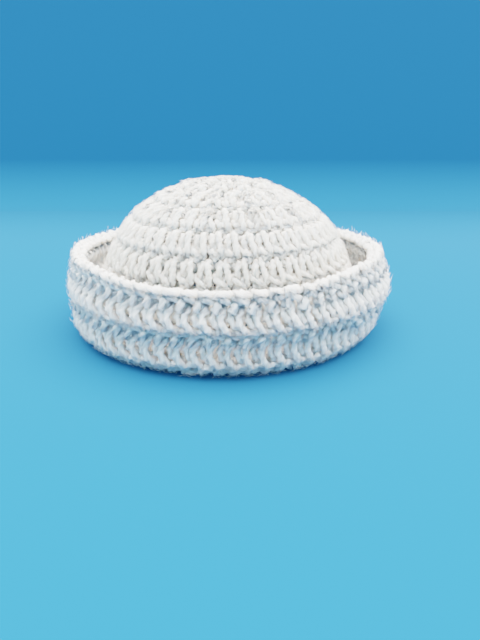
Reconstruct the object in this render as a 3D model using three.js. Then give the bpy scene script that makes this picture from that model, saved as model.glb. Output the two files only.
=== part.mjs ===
// A crocheted baby sailor cap: a domed crown worked in rounds from the top, and a deep brim that leaves
// the crown's lower edge, lies flat for one round and is turned up all the way around.
// Millimetres, +Z up, the front towards -Y. The origin is on the surface that the cap rests on,
// below the centre of its outline.
import * as THREE from "three";

// Crown sizes
const crownHeight = 68.5; // from the resting plane to the top of the dome
const crownRadius = 60.5; // over the crochet, near the lower edge
const crownWall = 5; // two thicknesses of yarn
const crownStitches = 48; // stitches in a full round, one facet each
const crownSwell = 1.3; // how far a round stands proud of the grooves at its ends

// Brim sizes
const brimHeight = 38; // from the resting plane to the rim
const brimRadius = 76.5; // over the crochet, at the widest ridge
const brimWall = 6; // looser stitches than the crown's
const brimFloor = 5.5; // the round that lies flat between the crown and the upright wall
const brimStitches = 72; // stitches in a full round, one facet each

// Sizes that both share
const lean = 2.2; // the foot sits this far to the left of the widest ridge
const restWidth = 8; // ring of the floor that is pressed flat on the surface
const restInset = 3; // from the floor's inner edge to that ring
const edgeSoftness = 1.6; // rounding of a crochet edge
const seatGap = 0.3; // between the crown's lower edge and the floor that carries it

// Crown rounds, from the top down: the groove at each one's lower end.
// reach is a share of crownRadius, height of crownHeight and lean of lean.
// The last round has no height of its own, because it ends on the brim's floor.
const crownRounds = [
  { reach: 0.215, height: 0.985, lean: -0.8 },
  { reach: 0.41, height: 0.937, lean: -0.9 },
  { reach: 0.578, height: 0.857, lean: -0.8 },
  { reach: 0.72, height: 0.757, lean: -0.6 },
  { reach: 0.852, height: 0.61, lean: -0.45 },
  { reach: 0.94, height: 0.46, lean: -0.45 },
  { reach: 0.975, height: 0.3, lean: -0.7 },
  { reach: 0.973, height: null, lean: -1 },
];
const crownBelly = 0.66; // share of a round's way down at which it stands out most
const stepsPerRound = 5; // facets along that way

// Brim wall, from the foot to the edge of the rim.
// reach is a share of brimRadius, height of brimHeight and lean of lean.
const brimWallRows = [
  { name: "foot", reach: 0.909, height: 0.079, lean: -1 },
  { name: "lower bumps", reach: 0.955, height: 0.2, lean: -0.85 },
  { name: "lower round", reach: 0.981, height: 0.4, lean: -0.2 },
  { name: "groove", reach: 0.972, height: 0.545, lean: -0.05 },
  { name: "ridge", reach: 1, height: 0.655, lean: 0 },
  { name: "upper round", reach: 0.967, height: 0.82, lean: -0.1 },
  { name: "rim", reach: 0.961, height: 0.93, lean: -0.5 },
];
const brimSteps = 18; // facets along the outside of the wall

const point = (r, z) => new THREE.Vector2(r, z);
const placed = (row, radius, height) => point(row.reach * radius, row.height * height);

// The points from one groove to the next, bulging outwards by `swell`, most of all at `belly`.
function swelled(from, to, swell, belly, steps) {
  const along = to.clone().sub(from);
  const outward = point(-along.y, along.x).normalize();
  const power = Math.log(0.5) / Math.log(belly);
  const points = [];
  for (let i = 1; i <= steps; i++) {
    const t = i / steps;
    const lift = swell * Math.sin(Math.PI * t ** power);
    points.push(from.clone().addScaledVector(along, t).addScaledVector(outward, lift));
  }
  return points;
}

// A bend from one point to another that leaves and arrives along the lines to `corner`.
function bend(from, corner, to, steps) {
  return new THREE.QuadraticBezierCurve(from, corner, to).getPoints(steps);
}

// Straight-line value of the lean at height z, from rows of { z, lean } that rise.
function leanAt(rows, z) {
  const upper = rows.findIndex((row) => row.z >= z);
  if (upper === 0) return rows[0].lean;
  if (upper < 0) return rows.at(-1).lean;
  const [low, high] = [rows[upper - 1], rows[upper]];
  return THREE.MathUtils.mapLinear(z, low.z, high.z, low.lean, high.lean);
}

// Turns a profile round +Z, then moves each ring sideways by the lean at its height.
function turned(profile, facets, leanRows) {
  const geometry = new THREE.LatheGeometry(profile, facets);
  geometry.rotateX(Math.PI / 2);
  const position = geometry.getAttribute("position");
  for (let i = 0; i < position.count; i++) {
    position.setX(i, position.getX(i) + leanAt(leanRows, position.getZ(i)));
  }
  geometry.computeVertexNormals();
  return geometry;
}

// Crown: up the inside of the wall from the top of the hollow, down and around the lower edge,
// and back up over the rounds.
const seat = brimFloor + seatGap;
const crownTop = point(0, crownHeight);
const crownGrooves = crownRounds.map((row) =>
  row.height === null
    ? point(row.reach * crownRadius, seat)
    : placed(row, crownRadius, crownHeight),
);
const crownFoot = crownGrooves.at(-1);
const crownInnerFoot = point(crownFoot.x - crownWall, seat);

function crownProfile() {
  const outside = [crownTop];
  crownGrooves.forEach((groove, i) => {
    const start = crownGrooves[i - 1] ?? crownTop;
    const swell = i === 0 ? 0 : crownSwell;
    outside.push(...swelled(start, groove, swell, crownBelly, stepsPerRound));
  });

  // Each groove has a point of the inside one wall further in, square to the wall.
  const inside = crownGrooves.slice(0, -1).map((groove, i) => {
    const along = crownGrooves[i + 1].clone().sub(crownGrooves[i - 1] ?? crownTop).normalize();
    return point(groove.x + along.y * crownWall, groove.y - along.x * crownWall);
  });
  const hollowTop = point(0, crownHeight - crownWall);
  const hollow = new THREE.SplineCurve([hollowTop, ...inside, crownInnerFoot]);
  const hollowPoints = hollow.getPoints(2 * crownRounds.length);
  return [hollowTop, ...hollowPoints.slice(1), ...outside.reverse()];
}

const crownLeanRows = crownRounds
  .map((row, i) => ({ z: crownGrooves[i].y, lean: row.lean * lean }))
  .reverse();

// Brim: along the underside, up the outside of the wall, over the rim, down into the channel
// and back along the top of the floor.
const brimFoot = placed(brimWallRows[0], brimRadius, brimHeight);
const restStart = crownInnerFoot.x + restInset;
const restEnd = restStart + restWidth;

function brimProfile() {
  const innerLow = point(crownInnerFoot.x, brimFloor / 2);
  const under = bend(innerLow, point(innerLow.x, 0), point(restStart, 0), 3);
  const turnUp = bend(point(restEnd, 0), point(brimFoot.x - edgeSoftness, 0), brimFoot, 3);

  const rows = brimWallRows.map((row) => placed(row, brimRadius, brimHeight));
  const wall = new THREE.SplineCurve(rows).getPoints(brimSteps);
  const rimOut = rows.at(-1);
  const rimTop = point(rimOut.x - brimWall / 2, brimHeight);
  const rimIn = point(rimOut.x - brimWall, rimOut.y);
  const rim = [
    ...bend(rimOut, point(rimOut.x, brimHeight), rimTop, 3).slice(1),
    ...bend(rimTop, point(rimIn.x, brimHeight), rimIn, 3).slice(1),
  ];

  const mid = placed(brimWallRows[2], brimRadius, brimHeight);
  const wallIn = point(mid.x - brimWall, mid.y);
  const channel = point(brimFoot.x - brimWall, brimFloor);
  const down = [
    ...new THREE.LineCurve(rimIn, wallIn).getPoints(4).slice(1),
    ...bend(wallIn, point(wallIn.x, brimFloor), channel, 5).slice(1),
  ];
  const floor = [
    point(crownFoot.x, brimFloor),
    point(crownInnerFoot.x + edgeSoftness, brimFloor),
    point(crownInnerFoot.x, brimFloor - edgeSoftness),
  ];
  return [...under, ...turnUp, ...wall.slice(1), ...rim, ...down, ...floor, innerLow];
}

const brimLeanRows = brimWallRows.map((row) => ({ z: row.height * brimHeight, lean: row.lean * lean }));

// Materials
const crownYarn = new THREE.MeshStandardMaterial({ color: 0xf1eee8, roughness: 0.95, metalness: 0 });
const brimYarn = new THREE.MeshStandardMaterial({ color: 0xf3f3f0, roughness: 0.85, metalness: 0 });

const cap = new THREE.Group();

const crown = new THREE.Mesh(turned(crownProfile(), crownStitches, crownLeanRows), crownYarn);
crown.name = "crown";
cap.add(crown);

const brim = new THREE.Mesh(turned(brimProfile(), brimStitches, brimLeanRows), brimYarn);
brim.name = "brim";
cap.add(brim);

export default cap;
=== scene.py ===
# %% [markdown]
# # A crocheted baby sailor cap
# The cap is one fabric, worked in rounds of double crochet from the top of the crown. It comes down as a
# dome, runs outwards along the surface for one round, and is turned up all the way around as a deep brim.
# The solids of the frame give its size and place. Here each round is made again as what it really is: one
# long strand of plied yarn that loops through the round before it.

# %% Load the frame
import math

import bpy
import numpy as np
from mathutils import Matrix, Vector


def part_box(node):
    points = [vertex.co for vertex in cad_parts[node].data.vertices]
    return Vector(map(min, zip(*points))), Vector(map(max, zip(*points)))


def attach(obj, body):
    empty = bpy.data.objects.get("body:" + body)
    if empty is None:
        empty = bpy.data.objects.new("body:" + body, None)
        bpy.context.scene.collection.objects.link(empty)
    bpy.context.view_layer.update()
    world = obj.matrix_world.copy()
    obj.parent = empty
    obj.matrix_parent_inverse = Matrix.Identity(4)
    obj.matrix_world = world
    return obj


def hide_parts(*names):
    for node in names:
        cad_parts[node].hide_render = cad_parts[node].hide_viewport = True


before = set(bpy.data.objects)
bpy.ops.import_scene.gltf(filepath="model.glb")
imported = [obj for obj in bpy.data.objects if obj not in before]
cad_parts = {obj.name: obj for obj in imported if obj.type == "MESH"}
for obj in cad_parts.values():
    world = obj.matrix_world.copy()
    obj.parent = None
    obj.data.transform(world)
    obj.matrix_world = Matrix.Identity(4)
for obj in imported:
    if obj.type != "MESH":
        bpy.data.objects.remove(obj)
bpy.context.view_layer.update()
bpy.ops.object.select_all(action="DESELECT")

# %% [markdown]
# ## Sizes from the frame
# The yarn is drawn at the size of the two solids, the crown and the brim. The crown leans a little to the
# left, so its width is read from front to back. Everything below is worked out in millimetres, the unit
# that crochet hooks are sold in, and turned into metres when a mesh is made.

# %% Sizes from the frame
MM = 0.001

crown_low, crown_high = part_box("crown")
brim_low, brim_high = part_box("brim")
CROWN_TOP = crown_high.z / MM
CROWN_RADIUS = (crown_high.y - crown_low.y) / 2 / MM
BRIM_TOP = brim_high.z / MM
BRIM_RADIUS = (brim_high.x - brim_low.x) / 2 / MM
print(f"crown: radius {CROWN_RADIUS:.1f} mm, top at {CROWN_TOP:.1f} mm")
print(f"brim: radius {BRIM_RADIUS:.1f} mm, rim at {BRIM_TOP:.1f} mm")

# %% [markdown]
# ## Camera
# The photograph was taken with a phone close to the cap. Its place was found by matching the outlines of
# the crown, the rim and the brim to circles of known height. A short lens this close makes the front of
# the brim look larger than its back, so the distance matters as much as the angle.

# %% Camera
CAMERA_PLACE = (0.0049, -0.2291, 0.0843)
CAMERA_DOWN = math.radians(20.58)
CAMERA_LENS = 27.0  # millimetres, for the sensor below
CAMERA_SENSOR = 36.0
CAMERA_NEAREST = 0.01

bpy.ops.object.camera_add(location=CAMERA_PLACE, rotation=(math.pi / 2 - CAMERA_DOWN, 0, 0))
camera = bpy.context.object
camera.name = "camera"
camera.data.lens = CAMERA_LENS
camera.data.sensor_width = CAMERA_SENSOR
camera.data.clip_start = CAMERA_NEAREST
bpy.context.scene.camera = camera
print("camera to cap:", round(camera.location.length, 3), "m")

# %% [markdown]
# ## Backdrop
# The cap stands on a sheet of blue paper that turns up not far behind it. The paper is pale where it lies
# flat and a deeper blue where it stands upright, because the light comes from above. It is a plane whose
# back edge is spun up through a quarter turn and then pulled straight up. One sheet with a soft bend has
# no hard edge behind the cap, so nothing distracts from the outline of white yarn.

# %% Backdrop
FLOOR_SIZE = 4.0
FLOOR_BACK = 0.38  # where the sheet starts to curve up, behind the cap
SWEEP_RADIUS = 0.06
SWEEP_STEPS = 48
WALL_HEIGHT = 0.3


def paper_sweep():
    bpy.ops.mesh.primitive_plane_add(size=FLOOR_SIZE, location=(0, FLOOR_BACK - FLOOR_SIZE / 2, 0))
    sheet = bpy.context.object
    sheet.name = "backdrop"
    bpy.ops.object.transform_apply(location=True, rotation=False, scale=False)
    bpy.ops.object.mode_set(mode="EDIT")
    bpy.ops.mesh.select_all(action="DESELECT")
    bpy.ops.object.mode_set(mode="OBJECT")
    for edge in sheet.data.edges:
        ends = [sheet.data.vertices[i].co.y for i in edge.vertices]
        edge.select = min(ends) > FLOOR_BACK - MM
    bpy.ops.object.mode_set(mode="EDIT")
    bpy.ops.mesh.select_mode(type="EDGE")
    centre = (0, FLOOR_BACK, SWEEP_RADIUS)
    bpy.ops.mesh.spin(steps=SWEEP_STEPS, angle=-math.pi / 2, center=centre, axis=(1, 0, 0))
    bpy.ops.mesh.extrude_region_move(TRANSFORM_OT_translate={"value": (0, 0, WALL_HEIGHT)})
    bpy.ops.mesh.select_all(action="SELECT")
    bpy.ops.mesh.normals_make_consistent(inside=False)
    bpy.ops.object.mode_set(mode="OBJECT")
    return sheet


backdrop = paper_sweep()
corners = np.array([vertex.co for vertex in backdrop.data.vertices])
print(f"backdrop: {len(backdrop.data.polygons)} faces")
print("backdrop from", corners.min(axis=0), "to", corners.max(axis=0))

# %% [markdown]
# ## Paper
# Background paper is dull: it has one even colour and hardly any shine, so a plain rough shader is enough.
# Its colour is set deep here, because the strong light from above makes it much paler in the picture.

# %% Paper
PAPER_COLOUR = (0.003, 0.078, 0.22, 1)
PAPER_ROUGHNESS = 0.9
PAPER_SHINE = 0.2

paper = bpy.data.materials.new("pale_blue_paper")
paper.use_nodes = True
paper_shader = paper.node_tree.nodes["Principled BSDF"]
paper_shader.inputs["Base Color"].default_value = PAPER_COLOUR
paper_shader.inputs["Roughness"].default_value = PAPER_ROUGHNESS
paper_shader.inputs["Specular IOR Level"].default_value = PAPER_SHINE
backdrop.data.materials.append(paper)
print("paper colour:", PAPER_COLOUR[:3])

# %% [markdown]
# ## Light
# White yarn has no colour of its own to show its form, so the light has to do it. The photograph has a
# strong, slightly warm light from above and a little to the right. Shaded places are bluish, because they
# see the paper and the daylight more than that light. A sun with a very wide angle acts like soft panels
# overhead, and a pale blue sky fills the shadows. The Filmic view keeps white yarn from burning out.

# %% Light
SUN_STRENGTH = 19.5
SUN_COLOUR = (1.0, 0.82, 0.70)
SUN_SPREAD = 80.0  # degrees across
SUN_FROM = (0.12, -0.08, 1.0)
SKY_COLOUR = (0.42, 0.87, 1.0, 1)
SKY_STRENGTH = 2.2
SHADOW_LIFT = 1.15  # a phone lightens the shadows of a picture in the same way

aim = (-Vector(SUN_FROM)).to_track_quat("-Z", "Y").to_euler()
bpy.ops.object.light_add(type="SUN", location=SUN_FROM, rotation=aim)
sun = bpy.context.object
sun.name = "overhead_panels"
sun.data.energy = SUN_STRENGTH
sun.data.color = SUN_COLOUR
sun.data.angle = math.radians(SUN_SPREAD)

sky = bpy.data.worlds.new("sky")
sky.use_nodes = True
sky.node_tree.nodes["Background"].inputs["Color"].default_value = SKY_COLOUR
sky.node_tree.nodes["Background"].inputs["Strength"].default_value = SKY_STRENGTH
bpy.context.scene.world = sky
bpy.context.scene.view_settings.view_transform = "Filmic"
bpy.context.scene.view_settings.gamma = SHADOW_LIFT
print(f"sun {SUN_STRENGTH}, sky {SKY_STRENGTH}")

# %% [markdown]
# ## The fabric as one surface
# Every round lies on the same middle surface, half way through the cloth. Seen from the side it is one
# line, given here by a few rows, and a whole number of rounds is an edge between two of them. `reach` is a
# share of the solid's radius and `height` a share of its height. `lean` is in millimetres and moves the
# cloth sideways, because a cap made by hand doesn't stand quite straight.

# %% The cloth's middle line
CROWN_LINE = [
    {"round": 0.0, "reach": 0.030, "height": 0.924, "lean": -1.2},
    {"round": 1.0, "reach": 0.208, "height": 0.908, "lean": -1.3},
    {"round": 2.0, "reach": 0.388, "height": 0.873, "lean": -1.6},
    {"round": 3.0, "reach": 0.562, "height": 0.802, "lean": -1.6},
    {"round": 4.0, "reach": 0.715, "height": 0.703, "lean": -1.3},
    {"round": 5.0, "reach": 0.833, "height": 0.572, "lean": -1.0},
    {"round": 6.0, "reach": 0.911, "height": 0.430, "lean": -1.0},
    {"round": 7.0, "reach": 0.950, "height": 0.290, "lean": -1.5},
    {"round": 7.6, "reach": 0.945, "height": 0.160, "lean": -2.0},
]
BRIM_LINE = [
    {"round": 8.0, "reach": 0.755, "height": 0.115, "lean": -2.2},
    {"round": 8.3, "reach": 0.802, "height": 0.088, "lean": -2.2},
    {"round": 8.65, "reach": 0.845, "height": 0.088, "lean": -2.2},
    {"round": 9.0, "reach": 0.884, "height": 0.168, "lean": -2.1},
    {"round": 9.3, "reach": 0.916, "height": 0.288, "lean": -1.7},
    {"round": 9.6, "reach": 0.934, "height": 0.420, "lean": -0.8},
    {"round": 10.0, "reach": 0.924, "height": 0.550, "lean": -0.1},
    {"round": 10.3, "reach": 0.944, "height": 0.660, "lean": 0.0},
    {"round": 10.65, "reach": 0.922, "height": 0.810, "lean": -0.3},
    {"round": 11.0, "reach": 0.889, "height": 0.938, "lean": -0.9},
    {"round": 11.2, "reach": 0.882, "height": 0.986, "lean": -1.1},
]


def in_millimetres(rows, radius, height):
    return [(row["round"], row["reach"] * radius, row["height"] * height, row["lean"]) for row in rows]


CLOTH_ROWS = np.array(
    in_millimetres(CROWN_LINE, CROWN_RADIUS, CROWN_TOP)
    + in_millimetres(BRIM_LINE, BRIM_RADIUS, BRIM_TOP)
)
print("the middle line starts at", CLOTH_ROWS[0].round(1), "and ends at", CLOTH_ROWS[-1].round(1))

# %% [markdown]
# ## Following the line
# A smooth curve through the rows says where the cloth is at any part of a round. Square to it is the
# cloth's right side, which faces out on the crown, up on the flat round and in towards the crown on the
# brim, because the brim is turned up. A curve through a few rows is easier to change than a mesh.

# %% Places on the line
LINE_STEP = 0.02  # part of a round over which the direction of the line is measured
LENGTH_PLACES = 40


def smooth_through(x, rows):
    """Values at x of a smooth curve through rows of (x, value, value, ...), in cubic pieces."""
    knots, values = rows[:, 0], rows[:, 1:]
    slopes = np.gradient(values, knots, axis=0)
    i = np.clip(np.searchsorted(knots, x, side="right") - 1, 0, len(knots) - 2)
    width = knots[i + 1] - knots[i]
    s = ((x - knots[i]) / width)[:, None]
    a, b = values[i], values[i + 1]
    ma, mb = slopes[i] * width[:, None], slopes[i + 1] * width[:, None]
    return (
        (2 * s**3 - 3 * s**2 + 1) * a
        + (s**3 - 2 * s**2 + s) * ma
        + (3 * s**2 - 2 * s**3) * b
        + (s**3 - s**2) * mb
    )


def cloth_line(rounds):
    """Reach, height and lean at each place in rounds, and how far the right side faces out and up."""
    here = smooth_through(rounds, CLOTH_ROWS)
    after = smooth_through(rounds + LINE_STEP, CLOTH_ROWS)
    along = after - smooth_through(rounds - LINE_STEP, CLOTH_ROWS)
    along /= np.linalg.norm(along[:, :2], axis=1)[:, None]
    return here, -along[:, 1], along[:, 0]


def round_length(number):
    """Length in millimetres of the middle line from one edge of a round to the other."""
    line = smooth_through(np.linspace(number - 1, number, LENGTH_PLACES), CLOTH_ROWS)
    return np.linalg.norm(np.diff(line[:, :2], axis=0), axis=1).sum()


print("round heights in mm:", [round(round_length(n), 1) for n in range(1, 12)])

# %% [markdown]
# ## The soft front of the brim
# Only its own stiffness holds the turned-up cloth, and in the middle of the front it has sunk a little and
# leans out. The last round alone does that. How far it sinks is a smooth function of the angle around the
# cap, so that the rim has no kink where the sag ends.

# %% Sag of the front
FRONT_SAG = 2.5  # millimetres at the rim, in the middle of the front
FRONT_LEAN = 1.5
FRONT_WIDTH = 0.38  # 0 would be the middle of the front alone, 1 the whole front half
SAG_FROM = 10  # the round whose upper edge still stands level


def eased(x):
    """0 below 0, 1 above 1, and a smooth step between the two."""
    x = np.clip(x, 0, 1)
    return x * x * (3 - 2 * x)


def front_share(angle):
    """1 in the middle of the front, softly down to 0 at the sides of it."""
    return eased((np.cos(angle) - 1 + FRONT_WIDTH) / FRONT_WIDTH)


sag_end = math.degrees(math.acos(1 - FRONT_WIDTH))
print(f"the rim sags from {-sag_end:.0f} to {sag_end:.0f} degrees around the front")

# %% [markdown]
# ## One double crochet stitch
# A double crochet is a single strand that never ends: it crosses behind the last stitch, slants over the
# front, dives through the round before, comes up as two legs, goes back through, climbs the wrong side and
# ends in the V along the top. `STITCH` names the points of one such journey. `along` counts stitches,
# `up` counts rounds from the foot to the V, and `out` is in millimetres towards the right side.

# %% The stitch
STITCH = [
    {"part": "bar behind", "along": -0.86, "up": 0.90, "out": -1.5},
    {"part": "bar behind", "along": -0.50, "up": 0.84, "out": -1.4},
    {"part": "bar behind", "along": 0.05, "up": 0.83, "out": -1.0},
    {"part": "bar behind", "along": 0.52, "up": 0.86, "out": -0.7},
    {"part": "over the top", "along": 0.76, "up": 0.92, "out": 0.0},
    {"part": "slant in front", "along": 0.60, "up": 0.82, "out": 1.1},
    {"part": "slant in front", "along": 0.26, "up": 0.66, "out": 1.9},
    {"part": "slant in front", "along": -0.06, "up": 0.50, "out": 1.6},
    {"part": "round the side", "along": -0.22, "up": 0.38, "out": 0.0},
    {"part": "slant behind", "along": 0.00, "up": 0.31, "out": -1.3},
    {"part": "slant behind", "along": 0.34, "up": 0.12, "out": -1.5},
    {"part": "through the round before", "along": 0.38, "up": -0.12, "out": 0.0},
    {"part": "left leg", "along": 0.26, "up": -0.03, "out": 1.7},
    {"part": "left leg", "along": 0.16, "up": 0.18, "out": 2.0},
    {"part": "left leg", "along": 0.16, "up": 0.42, "out": 1.3},
    {"part": "loop top", "along": 0.30, "up": 0.66, "out": 0.2},
    {"part": "loop top", "along": 0.52, "up": 0.84, "out": 0.4},
    {"part": "right leg", "along": 0.68, "up": 0.80, "out": 1.4},
    {"part": "right leg", "along": 0.66, "up": 0.56, "out": 2.2},
    {"part": "right leg", "along": 0.60, "up": 0.26, "out": 2.3},
    {"part": "right leg", "along": 0.50, "up": -0.02, "out": 1.9},
    {"part": "back through", "along": 0.58, "up": -0.14, "out": 0.0},
    {"part": "climb behind", "along": 1.02, "up": -0.02, "out": -1.8},
    {"part": "climb behind", "along": 0.70, "up": 0.14, "out": -2.7},
    {"part": "climb behind", "along": 0.30, "up": 0.34, "out": -2.6},
    {"part": "through the loop", "along": 0.20, "up": 0.43, "out": 0.3},
    {"part": "upper loop", "along": 0.50, "up": 0.68, "out": 1.0},
    {"part": "upper loop", "along": 0.58, "up": 0.88, "out": 1.0},
    {"part": "upper loop", "along": 0.34, "up": 0.94, "out": 0.8},
    {"part": "upper loop", "along": 0.12, "up": 0.78, "out": 0.4},
    {"part": "through the loop", "along": 0.10, "up": 0.47, "out": -1.0},
    {"part": "neck", "along": 0.12, "up": 0.50, "out": -2.3},
    {"part": "neck", "along": 0.18, "up": 0.64, "out": -2.3},
    {"part": "V", "along": 0.28, "up": 0.92, "out": -0.3},
    {"part": "V in front", "along": 0.62, "up": 1.12, "out": 1.0},
    {"part": "V in front", "along": 0.98, "up": 1.03, "out": 1.4},
    {"part": "V tip", "along": 1.30, "up": 0.86, "out": 0.1},
    {"part": "V behind", "along": 1.00, "up": 1.03, "out": -1.9},
    {"part": "V behind", "along": 0.62, "up": 1.12, "out": -2.3},
]
STITCH_POINTS = np.array([[row["along"], row["up"], row["out"]] for row in STITCH])
HOLE_AT = 0.44  # where a stitch dives through the round before, in stitches
HOLE_UNDER_V = 0.88  # the same hole, seen from the stitch that it is under
print("one stitch is drawn with", len(STITCH), "points")

# %% [markdown]
# ## A strand that repeats
# One stitch of the strand ends where the next begins, one stitch further on. These helpers round off the
# drawn points and spread them evenly, and both look past the end of a stitch into its neighbours, so that
# no joint shows between two stitches.

# %% Helpers for a strand
CURVE_STEPS = 8  # points on the curve for each drawn point


def unit(vectors):
    return vectors / np.linalg.norm(vectors, axis=1)[:, None]


def spaced(points, step, count):
    """count points at even distances on a strand that repeats after `step`."""
    whole = np.vstack([points, points[:1] + step])
    length = np.linalg.norm(np.diff(whole, axis=0), axis=1)
    reach = np.concatenate([[0], np.cumsum(length)])
    wanted = np.linspace(0, reach[-1], count, endpoint=False)
    return np.stack([np.interp(wanted, reach, whole[:, k]) for k in range(3)], axis=1)


def rounded(points, step):
    """A smooth curve through points of a strand that repeats after `step`."""
    whole = np.vstack([points[-1:] - step, points, points[:2] + step])
    s = np.linspace(0, 1, CURVE_STEPS, endpoint=False)[None, :, None]
    a, b, c, d = (whole[k : k + len(points), None, :] for k in range(4))
    square = 2 * a - 5 * b + 4 * c - d
    cube = 3 * b - a - 3 * c + d
    curve = 0.5 * (2 * b + (c - a) * s + square * s**2 + cube * s**3)
    return curve.reshape(-1, 3)


print("points on the curve of a stitch:", len(rounded(STITCH_POINTS, np.array([1.0, 0.0, 0.0]))))

# %% [markdown]
# ## Letting the yarn settle
# As drawn, the strand cuts through itself in places. Real yarn pushes itself apart until it only
# touches. So one stitch is settled among copies of itself to the left and right, above and below: wherever
# two places are closer than the yarn is thick they push each other away, while the strand tries to stay
# smooth and near its first place. One stitch is cheap to settle, and every round repeats it.

# %% Settle one stitch
SETTLE_PLACES = 72  # points on the strand of one stitch
SETTLE_PASSES = 30
SPREAD_EVERY = 10  # passes between two times that the points are spread evenly again
PUSH = 0.25  # share of an overlap that one pass undoes
PUSH_LIMIT = 0.35  # millimetres in one pass
EASE = 0.03  # pull towards a straight line, in each pass
STAY = 0.08  # pull back to the drawn place, in each pass
OWN_REACH = 1.3  # thicknesses of yarn along the strand that never push each other
COLUMNS = range(-3, 4)  # the stitch and its copies to the left and right
ROWS = (-1, 0, 1)  # and those in the rounds below and above
TINY = 1e-6  # keeps a division by no distance safe


def settled(pitch, height, thickness):
    """One stitch as points in millimetres, after its yarn has pushed itself apart."""
    step = np.array([pitch, 0.0, 0.0])
    drawn = rounded(STITCH_POINTS * np.array([pitch, height, 1.0]), step)
    strand = spaced(drawn, step, SETTLE_PLACES)
    home = strand.copy()
    order = np.arange(SETTLE_PLACES)
    row_shift = (HOLE_UNDER_V - HOLE_AT) * pitch
    for work in range(1, SETTLE_PASSES + 1):
        push = np.zeros_like(strand)
        apart = np.linalg.norm(np.diff(strand, axis=0), axis=1).mean()
        own = math.ceil(OWN_REACH * thickness / apart)
        for row in ROWS:
            for column in COLUMNS:
                offset = np.array([column * pitch + row * row_shift, row * height, 0.0])
                away = strand[:, None, :] - (strand[None, :, :] + offset)
                distance = np.linalg.norm(away, axis=2)
                if row == 0:
                    along = np.abs(order[:, None] - (order[None, :] + column * SETTLE_PLACES))
                    distance[along <= own] = np.inf
                overlap = np.clip(thickness - distance, 0, None)
                push += (away * (overlap / np.maximum(distance, TINY))[..., None]).sum(axis=1)
        whole = np.vstack([strand[-1:] - step, strand, strand[:1] + step])
        smoothing = 0.5 * (whole[:-2] + whole[2:]) - strand
        moved = np.clip(PUSH * push, -PUSH_LIMIT, PUSH_LIMIT)
        strand = strand + moved + EASE * smoothing + STAY * (home - strand)
        if work % SPREAD_EVERY == 0:
            strand = spaced(strand, step, SETTLE_PLACES)
            home = spaced(home, step, SETTLE_PLACES)
    return strand


SAMPLE_WIDTH, SAMPLE_HEIGHT, SAMPLE_YARN = 7.0, 12.0, 4.0
sample = settled(SAMPLE_WIDTH, SAMPLE_HEIGHT, SAMPLE_YARN)
sample_length = np.linalg.norm(np.diff(sample, axis=0), axis=1).sum()
print(f"a stitch of {SAMPLE_WIDTH} by {SAMPLE_HEIGHT} mm takes about {sample_length:.0f} mm of yarn")

# %% [markdown]
# ## Plied yarn
# The yarn has three plies that wind around each other, but it is soft and thick, so the plies hardly show.
# The strand is one tube whose section has three soft ridges, and the section turns as it runs along. Three
# separate tubes pressed this far into each other would leave hard edges between them. A curve with a bevel
# can't close its twist on a ring, so the tube is laid point by point.

# %% Yarn along a closed strand
PLIES = 3
SIDES_PER_PLY = 4
PLY_TURN = 12.0  # millimetres of yarn in one turn of the plies
PLY_GROOVE = 0.32  # depth of the groove between two plies, as a share of the yarn's radius


def carried_frame(points):
    """Two directions square to a closed strand at each point, and the turn that closes them."""
    tangent = unit(np.roll(points, -1, axis=0) - np.roll(points, 1, axis=0))
    side = np.zeros_like(points)
    first = np.cross(tangent[0], [0.0, 0.0, 1.0])
    side[0] = first / np.linalg.norm(first)
    for i in range(1, len(points)):
        carried = side[i - 1] - tangent[i] * (side[i - 1] @ tangent[i])
        side[i] = carried / np.linalg.norm(carried)
    last = side[-1] - tangent[0] * (side[-1] @ tangent[0])
    other = np.cross(tangent[0], side[0])
    mismatch = math.atan2(last @ other, last @ side[0])
    return side, np.cross(tangent, side), mismatch


def plied(points, radius):
    """Vertices, faces and (along, around) places of plied yarn on a closed strand, in millimetres."""
    side, other, mismatch = carried_frame(points)
    step = np.linalg.norm(np.roll(points, -1, axis=0) - points, axis=1)
    length = step.sum()
    share = np.concatenate([[0], np.cumsum(step)[:-1]]) / length
    turns = round(length / PLY_TURN) * 2 * math.pi - mismatch
    count, sides = len(points), PLIES * SIDES_PER_PLY

    spoke = np.arange(sides)[None, :]
    around = turns * share[:, None] + 2 * math.pi * spoke / sides
    ridge = 1 - PLY_GROOVE * (0.5 + 0.5 * np.cos(2 * math.pi * spoke / SIDES_PER_PLY))
    direction = np.cos(around)[..., None] * side[:, None] + np.sin(around)[..., None] * other[:, None]
    vertices = points[:, None] + (radius[:, None] * ridge)[..., None] * direction

    ring = np.arange(count)[:, None] * sides
    after = (np.arange(count)[:, None] + 1) % count * sides
    spoke_next = (spoke + 1) % sides
    faces = np.stack([ring + spoke, ring + spoke_next, after + spoke_next, after + spoke], axis=-1)
    along = np.repeat(length * share[:, None], sides, axis=1)
    along_next = along + step[:, None]
    low = np.repeat(spoke / SIDES_PER_PLY, count, axis=0)
    high = low + 1 / SIDES_PER_PLY
    places = np.stack([along, low, along, high, along_next, high, along_next, low], axis=-1)
    return vertices.reshape(-1, 3), faces.reshape(-1, 4), places.reshape(-1, 2)


print("sides of a strand's section:", PLIES * SIDES_PER_PLY)

# %% [markdown]
# ## Pieces from points
# A round has thousands of points, and adding them with the modelling tools one by one would take hours. A
# mesh filled from arrays takes a moment and looks the same. Each corner of a face also gets a place on the
# yarn, in a UV map of that name, which the yarn's material reads.

# %% Mesh of a piece
YARN_UV = "yarn"


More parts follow.
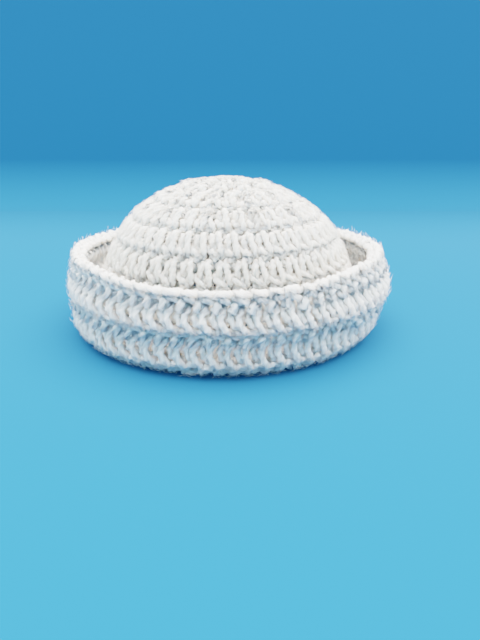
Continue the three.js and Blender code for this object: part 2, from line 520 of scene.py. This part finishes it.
def mesh_piece(name, vertices, faces, places):
    """A smooth object from vertices in millimetres, faces and a UV place for each of their corners."""
    mesh = bpy.data.meshes.new(name)
    mesh.vertices.add(len(vertices))
    mesh.vertices.foreach_set("co", (vertices * MM).astype(np.float32).ravel())
    mesh.loops.add(faces.size)
    mesh.loops.foreach_set("vertex_index", faces.astype(np.int32).ravel())
    mesh.polygons.add(len(faces))
    mesh.polygons.foreach_set("loop_start", np.arange(0, faces.size, faces.shape[1], dtype=np.int32))
    mesh.update(calc_edges=True)
    mesh.polygons.foreach_set("use_smooth", np.ones(len(faces), dtype=bool))
    uv = mesh.uv_layers.new(name=YARN_UV)
    uv.data.foreach_set("uv", places.astype(np.float32).ravel())
    piece = bpy.data.objects.new(name, mesh)
    bpy.context.scene.collection.objects.link(piece)
    return piece


print("UV map of every piece:", YARN_UV)

# %% [markdown]
# ## Fibres in the yarn
# Close up, a ply is a bundle of fine crimped fibres. They run along it, catch the light as thin streaks and
# leave finer grooves than the plies do. The shader group takes the yarn's own UV map, where U is the
# distance along the strand and V counts the plies around it. V is bent into a circle first, so that the
# noise meets itself where the tube closes. Light hardly reaches the groove between two plies, where V is a
# whole number, so shade is painted there: the groove is mixed towards the deep colour.

# %% Shader group for the fibres
# painted shade: how much of the deep colour is painted into the groove between two plies
GROOVE_SHADE = 0.8  # how far the groove between two plies goes to the deep colour
PLY_SHIFT = 7.3  # moves the streaks along, so that no two plies have the same ones
STREAK_DETAIL = 3.0
STREAK_ROUGHNESS = 0.6
STREAKS_FROM, STREAKS_TO = 0.35, 0.62  # noise that gives the deep and the light colour


def fibre_group():
    group = bpy.data.node_groups.new("yarn_fibres", "ShaderNodeTree")
    sockets = [
        ("UV", "INPUT", "NodeSocketVector"),
        ("Stretch", "INPUT", "NodeSocketFloat"),
        ("Fineness", "INPUT", "NodeSocketFloat"),
        ("Light Fibre", "INPUT", "NodeSocketColor"),
        ("Deep Fibre And Groove Shade", "INPUT", "NodeSocketColor"),
        ("Color", "OUTPUT", "NodeSocketColor"),
        ("Streaks", "OUTPUT", "NodeSocketFloat"),
    ]
    for name, direction, kind in sockets:
        group.interface.new_socket(name=name, in_out=direction, socket_type=kind)
    nodes, links = group.nodes, group.links
    given = nodes.new("NodeGroupInput")
    result = nodes.new("NodeGroupOutput")

    def maths(operation, first, second=None):
        node = nodes.new("ShaderNodeMath")
        node.operation = operation
        for socket, value in zip(node.inputs, (first, second)):
            if isinstance(value, bpy.types.NodeSocket):
                links.new(value, socket)
            elif value is not None:
                socket.default_value = value
        return node.outputs[0]

    place = nodes.new("ShaderNodeSeparateXYZ")
    links.new(given.outputs["UV"], place.inputs[0])
    along = maths("MULTIPLY", place.outputs["X"], given.outputs["Stretch"])
    around = maths("MULTIPLY", place.outputs["Y"], 2 * math.pi)
    ply = maths("MULTIPLY", maths("FLOOR", place.outputs["Y"]), PLY_SHIFT)
    across = maths("MULTIPLY", maths("COSINE", around), given.outputs["Fineness"])
    up = maths("MULTIPLY", maths("SINE", around), given.outputs["Fineness"])
    circle = nodes.new("ShaderNodeCombineXYZ")
    links.new(maths("ADD", along, ply), circle.inputs["X"])
    links.new(across, circle.inputs["Y"])
    links.new(up, circle.inputs["Z"])
    noise = nodes.new("ShaderNodeTexNoise")
    noise.inputs["Scale"].default_value = 1.0
    noise.inputs["Detail"].default_value = STREAK_DETAIL
    noise.inputs["Roughness"].default_value = STREAK_ROUGHNESS
    links.new(circle.outputs[0], noise.inputs["Vector"])
    ramp = nodes.new("ShaderNodeMapRange")
    ramp.inputs["From Min"].default_value = STREAKS_FROM
    ramp.inputs["From Max"].default_value = STREAKS_TO
    links.new(noise.outputs["Fac"], ramp.inputs["Value"])
    # painted shade in the groove between two plies, where light hardly reaches
    groove = maths("MAXIMUM", maths("COSINE", around), 0.0)
    open_to_light = maths("SUBTRACT", 1.0, maths("MULTIPLY", groove, GROOVE_SHADE))
    mix = nodes.new("ShaderNodeMix")
    mix.data_type = "RGBA"
    links.new(maths("MULTIPLY", ramp.outputs["Result"], open_to_light), mix.inputs["Factor"])
    links.new(given.outputs["Deep Fibre And Groove Shade"], mix.inputs["A"])
    links.new(given.outputs["Light Fibre"], mix.inputs["B"])
    links.new(mix.outputs["Result"], result.inputs["Color"])
    links.new(noise.outputs["Fac"], result.inputs["Streaks"])
    return group


FIBRES = fibre_group()
print("shader group:", FIBRES.name, "with", len(FIBRES.nodes), "nodes")

# %% [markdown]
# ## Yarn
# White acrylic yarn lets light in and scatters it, so a strand still glows where its neighbour shades it.
# Subsurface scattering gives that, and a little sheen stands for the fine fibres at grazing angles. The
# streaks colour the yarn and break up its highlights as a bump. In the photograph the crown is warmer and
# duller, and the brim is fluffier and catches a bluer light. Both are the same white yarn: the crown's
# warmer colours are painted warm light from above, and each has its own roughness and sheen.

# %% Yarn material
YARN_SHINE = 0.3
SHEEN_ROUGHNESS = 0.5
GLOW_SHARE = 1.0
GLOW_COLOURS = (1.0, 0.85, 0.7)  # red light goes furthest inside the yarn
GLOW_REACH = 0.012  # metres
STREAK_BUMP = 0.8
STREAK_DEPTH = 0.0010  # metres


def yarn_material(name, light, deep, stretch, fineness, roughness, sheen):
    material = bpy.data.materials.new(name)
    material.use_nodes = True
    nodes, links = material.node_tree.nodes, material.node_tree.links
    shader = nodes["Principled BSDF"]
    shader.inputs["Roughness"].default_value = roughness
    shader.inputs["Specular IOR Level"].default_value = YARN_SHINE
    shader.inputs["Sheen Weight"].default_value = sheen
    shader.inputs["Sheen Roughness"].default_value = SHEEN_ROUGHNESS
    shader.inputs["Subsurface Weight"].default_value = GLOW_SHARE
    shader.inputs["Subsurface Radius"].default_value = GLOW_COLOURS
    shader.inputs["Subsurface Scale"].default_value = GLOW_REACH
    uv = nodes.new("ShaderNodeUVMap")
    uv.uv_map = YARN_UV
    fibres = nodes.new("ShaderNodeGroup")
    fibres.node_tree = FIBRES
    fibres.inputs["Stretch"].default_value = stretch
    fibres.inputs["Fineness"].default_value = fineness
    fibres.inputs["Light Fibre"].default_value = light
    fibres.inputs["Deep Fibre And Groove Shade"].default_value = deep
    links.new(uv.outputs["UV"], fibres.inputs["UV"])
    links.new(fibres.outputs["Color"], shader.inputs["Base Color"])
    bump = nodes.new("ShaderNodeBump")
    bump.inputs["Strength"].default_value = STREAK_BUMP
    bump.inputs["Distance"].default_value = STREAK_DEPTH
    links.new(fibres.outputs["Streaks"], bump.inputs["Height"])
    links.new(bump.outputs["Normal"], shader.inputs["Normal"])
    return material


# painted warm light: the crown's light and deep colours are warmer than the brim's, standing for warm light
# from above on the same white yarn
crown_yarn = yarn_material(
    "crown_yarn",
    light=(0.99, 0.94, 0.875, 1),
    deep=(0.80, 0.73, 0.64, 1),
    stretch=0.22,
    fineness=1.1,
    roughness=0.9,
    sheen=0.2,
)
brim_yarn = yarn_material(
    "brim_yarn",
    light=(0.98, 0.96, 0.93, 1),
    deep=(0.76, 0.745, 0.71, 1),
    stretch=0.22,
    fineness=1.2,
    roughness=0.75,
    sheen=0.35,
)
MATERIALS = {"crown_yarn": crown_yarn, "brim_yarn": brim_yarn}
print("finishes:", ", ".join(MATERIALS))

# %% [markdown]
# ## The rounds
# The first round has 12 stitches and each of the next three has 12 more, which makes the dome. Then the
# crown keeps its 48, and the brim starts with 72 at once, so that it spreads out flat. `yarn` is the
# radius of the strand in millimetres. It is larger near the top centre, where the stitches are loose and a
# few of them have to fill the cloth.

# %% Table of the rounds
ROUNDS = [
    {"name": "crown_round_1", "stitches": 12, "yarn": 1.95, "slot": "crown_yarn", "node": "crown"},
    {"name": "crown_round_2", "stitches": 24, "yarn": 2.0, "slot": "crown_yarn", "node": "crown"},
    {"name": "crown_round_3", "stitches": 36, "yarn": 1.85, "slot": "crown_yarn", "node": "crown"},
    {"name": "crown_round_4", "stitches": 48, "yarn": 1.75, "slot": "crown_yarn", "node": "crown"},
    {"name": "crown_round_5", "stitches": 48, "yarn": 1.65, "slot": "crown_yarn", "node": "crown"},
    {"name": "crown_round_6", "stitches": 48, "yarn": 1.5, "slot": "crown_yarn", "node": "crown"},
    {"name": "crown_round_7", "stitches": 48, "yarn": 1.5, "slot": "crown_yarn", "node": "crown"},
    {"name": "crown_round_8", "stitches": 48, "yarn": 1.5, "slot": "crown_yarn", "node": "crown"},
    {"name": "brim_floor_round", "stitches": 72, "yarn": 1.45, "slot": "brim_yarn", "node": "brim"},
    {"name": "brim_lower_round", "stitches": 72, "yarn": 1.55, "slot": "brim_yarn", "node": "brim"},
    {"name": "brim_upper_round", "stitches": 72, "yarn": 1.55, "slot": "brim_yarn", "node": "brim"},
]
FIRST_RING = 6  # places around the ring of yarn that the first round is worked into
print(len(ROUNDS), "rounds with", sum(row["stitches"] for row in ROUNDS), "stitches")

# %% [markdown]
# ## Laying a round
# A new stitch stands in a hole of the round before, so that round places its foot and its own round places
# its top. The settled strand is laid around the cap once for each stitch, and each copy is moved a little,
# because no two stitches made by hand are alike. At the free edge of the rim nothing presses on the yarn,
# so it opens and looks thicker there.

# %% Lay a round
PLACES_PER_STITCH = 45
WIDTH_AT = 0.3  # how far before its V's the width of a round's stitches is measured, in rounds
FOOT_WIDTH = 0.75  # the least share of its width that a foot keeps where stitches share a hole
CLOSENESS = 1.35  # strands press into each other, so they lie closer than two radii
HAND_SHIFT = np.array([0.05, 0.02, 0.12])  # stitches along, rounds up and millimetres out
ABOVE_FLOOR = 1.05  # lowest place of a strand, in radii of the yarn
RIM_FULLNESS = 0.28
RIM_FROM, RIM_WIDTH = 0.9, 0.12  # where the fullness starts and how soon it is whole, in rounds
UNEVEN = 0.03  # share of the radius, for each of the waves below
UNEVEN_WAVES = 6
LONGEST_WAVE, SHORTEST_WAVE = 60, 12  # in places along the strand
hand = np.random.default_rng(11)


def uneven(count):
    """Factors for the thickness of a closed strand: softly thicker and thinner, as in spun yarn."""
    turn = np.arange(count) * 2 * math.pi / count
    waves = hand.integers(count // LONGEST_WAVE, count // SHORTEST_WAVE, UNEVEN_WAVES)
    starts = hand.uniform(0, 2 * math.pi, UNEVEN_WAVES)
    return 1 + UNEVEN * np.sin(turn[:, None] * waves + starts).sum(axis=1)


def stitched_round(number, before_count, before_start):
    """The closed strand of one round, the angle at which its first stitch stands, and for each point the
    direction out of the cloth, its distance from the cloth's middle and the yarn's radius, all in
    millimetres."""
    row = ROUNDS[number - 1]
    count = row["stitches"]
    reach = smooth_through(np.array([number - WIDTH_AT]), CLOTH_ROWS)[0, 0]
    pitch = 2 * math.pi * reach / count
    height = round_length(number)
    strand = settled(pitch, height, CLOSENESS * row["yarn"])
    strand = spaced(strand, np.array([pitch, 0, 0]), PLACES_PER_STITCH)
    along, up, out = strand[:, 0] / pitch, strand[:, 1] / height, strand[:, 2]

    stitch = np.arange(count)
    parent = np.floor(stitch * before_count / count)
    turn = 2 * math.pi
    foot = before_start + (parent + HOLE_UNDER_V) * turn / before_count
    top = (stitch + HOLE_AT) * turn / count
    start = (foot - top).mean()
    crowding = FOOT_WIDTH + (1 - FOOT_WIDTH) * before_count / count
    shift = hand.normal(0, 1, (count, 3)) * HAND_SHIFT
    swing = eased(up)[None, :]
    from_hole = (along - HOLE_AT)[None, :] * turn / count
    angle_foot = foot[:, None] + from_hole * crowding
    angle_top = start + top[:, None] + from_hole + shift[:, :1] * turn / count
    angle = (angle_foot * (1 - swing) + angle_top * swing).ravel()
    level = (number - 1 + up[None, :] + shift[:, 1:2]).ravel()
    lift = (out[None, :] + shift[:, 2:]).ravel()

    here, outwards, upwards = cloth_line(level)
    sag = front_share(angle) * np.clip(level - SAG_FROM, 0, None)
    radius = here[:, 0] + outwards * lift + FRONT_LEAN * sag
    height_above = here[:, 1] + upwards * lift - FRONT_SAG * sag
    sine, cosine = np.sin(angle), np.cos(angle)
    points = np.stack([here[:, 2] + radius * sine, -radius * cosine, height_above], axis=1)
    points[:, 2] = np.maximum(points[:, 2], ABOVE_FLOOR * row["yarn"])
    right_side = np.stack([outwards * sine, -outwards * cosine, upwards], axis=1)
    rim = RIM_FULLNESS if number == len(ROUNDS) else 0.0
    fullness = np.tile(1 + rim * eased((up - RIM_FROM) / RIM_WIDTH), count)
    return points, start, right_side, lift, row["yarn"] * fullness


STRANDS = {"crown": [], "brim": []}  # kept for the fibres that leave them


def make_rounds():
    before_count, before_start = FIRST_RING, 0.0
    for number, row in enumerate(ROUNDS, start=1):
        points, start, right_side, lift, yarn = stitched_round(number, before_count, before_start)
        radius = yarn * uneven(len(points))
        vertices, faces, places = plied(points, radius)
        piece = mesh_piece(row["name"], vertices, faces, places)
        piece.data.materials.append(MATERIALS[row["slot"]])
        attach(piece, "root")
        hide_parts(row["node"])
        STRANDS[row["node"]].append((points, right_side, lift, yarn))
        before_count, before_start = row["stitches"], start
        metres = np.linalg.norm(np.diff(points, axis=0), axis=1).sum() * MM
        print(f"{piece.name}: {metres:.2f} m of yarn, {2 * len(faces)} triangles")


make_rounds()
print("rounds on each solid:", {node: len(strands) for node, strands in STRANDS.items()})

# %% [markdown]
# ## Stray fibres
# Soft acrylic yarn is never smooth: loose fibres stand out from it and blur the outline of the cap. Hair
# particles could make them, but they need a hair shader and don't leave Blender as a mesh. Here each fibre
# is a thin three-sided spindle with a bend in the middle. It is rooted just inside a strand, on the side
# of the cloth where that strand shows, and lies across the neighbours with only a little rise. All the
# fibres of the crown or the brim are one mesh.

# %% Stray fibres
FIBRES_ON = {"crown": 32500, "brim": 33000}
INSIDE_SHARE = {"crown": 0.2, "brim": 1.0}  # fibres on the wrong side of the cloth, against the right side
COVERED = 0.5  # strands nearer than this to the cloth's middle are covered, in millimetres
ROOT_DEPTH = 0.9  # where a fibre starts, as a share of the yarn's radius
ROOT_SPREAD = 0.4  # how far the roots stray around the strand
FIBRE_LENGTH = (1.2, 3.2)  # millimetres
FIBRE_RADIUS = 0.075  # millimetres, at the bend
FIBRE_CURL = 0.5  # how far a fibre bends sideways, as a share of its length
FIBRE_RISE = (0.02, 0.5)  # how far it leaves the cloth, as a share of its length
FIBRE_DROOP = 0.6  # how much of its rise a fibre loses again towards its tip
FIBRE_PLACES = np.array([0.0, 0.5, 1.0])  # root, bend and tip
FIBRE_SIDES = 3
ASKEW = np.array([0.31, 0.83, 0.47])  # a direction that hardly any fibre has
# V from 0.1 to 0.3 lies next to a ply groove, so part of each fibre takes the painted groove shade
FIBRE_UV = [[0.0, 0.1], [0.5, 0.2], [1.0, 0.3]]  # places on the yarn for a triangle's corners


def fibre_paths(strand, count, inside_share):
    """Root, bend and tip of count fibres that leave a strand and lie over its neighbours."""
    points, right_side, lift, yarn = strand
    weight = np.clip(np.abs(lift) - COVERED, 0, None) * np.where(lift < 0, inside_share, 1.0)
    root = hand.choice(len(points), count, p=weight / weight.sum())
    facing = right_side[root] * np.sign(lift[root])[:, None]
    leaving = unit(facing + hand.normal(0, ROOT_SPREAD, (count, 3)))
    start = points[root] + ROOT_DEPTH * yarn[root, None] * leaving
    over = unit(np.cross(facing, hand.normal(size=(count, 3))))
    curl = np.cross(over, facing) * hand.normal(0, FIBRE_CURL, (count, 1))
    rise = hand.uniform(*FIBRE_RISE, (count, 1, 1))
    length = hand.uniform(*FIBRE_LENGTH, (count, 1, 1))
    t = FIBRE_PLACES[None, :, None]
    lifted = rise * facing[:, None] * (t - FIBRE_DROOP * t**2)
    way = over[:, None] * t + curl[:, None] * t**2 + lifted
    return start[:, None] + length * way


def fibre_mesh(paths):
    """Closed three-sided spindles from roots, bends and tips, as vertices and triangles."""
    root, bend, tip = paths[:, 0], paths[:, 1], paths[:, 2]
    tangent = unit(tip - root)
    side = unit(np.cross(tangent, ASKEW))
    other = np.cross(tangent, side)
    ring = []
    triangles = []
    for k in range(FIBRE_SIDES):
        angle = 2 * math.pi * k / FIBRE_SIDES
        ring.append(bend + FIBRE_RADIUS * (math.cos(angle) * side + math.sin(angle) * other))
        here, after = 1 + k, 1 + (k + 1) % FIBRE_SIDES
        triangles.append([0, after, here])
        triangles.append([1 + FIBRE_SIDES, here, after])
    vertices = np.stack([root, *ring, tip], axis=1)
    first = np.arange(len(paths)) * vertices.shape[1]
    faces = np.array(triangles)[None] + first[:, None, None]
    return vertices.reshape(-1, 3), faces.reshape(-1, 3)


def make_fibres(node, slot):
    strands = STRANDS[node]
    total = sum(len(strand[0]) for strand in strands)
    shares = [round(FIBRES_ON[node] * len(strand[0]) / total) for strand in strands]
    paths = np.concatenate(
        [fibre_paths(strand, count, INSIDE_SHARE[node]) for strand, count in zip(strands, shares)]
    )
    paths[..., 2] = np.maximum(paths[..., 2], 2 * FIBRE_RADIUS)
    vertices, faces = fibre_mesh(paths)
    places = np.tile(FIBRE_UV, (len(faces), 1))
    piece = mesh_piece(f"{node}_stray_fibres", vertices, faces, places)
    piece.data.materials.append(MATERIALS[slot])
    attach(piece, "root")
    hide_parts(node)
    print(f"{piece.name}: {len(paths)} fibres, {len(faces)} triangles")


make_fibres("crown", "crown_yarn")
make_fibres("brim", "brim_yarn")
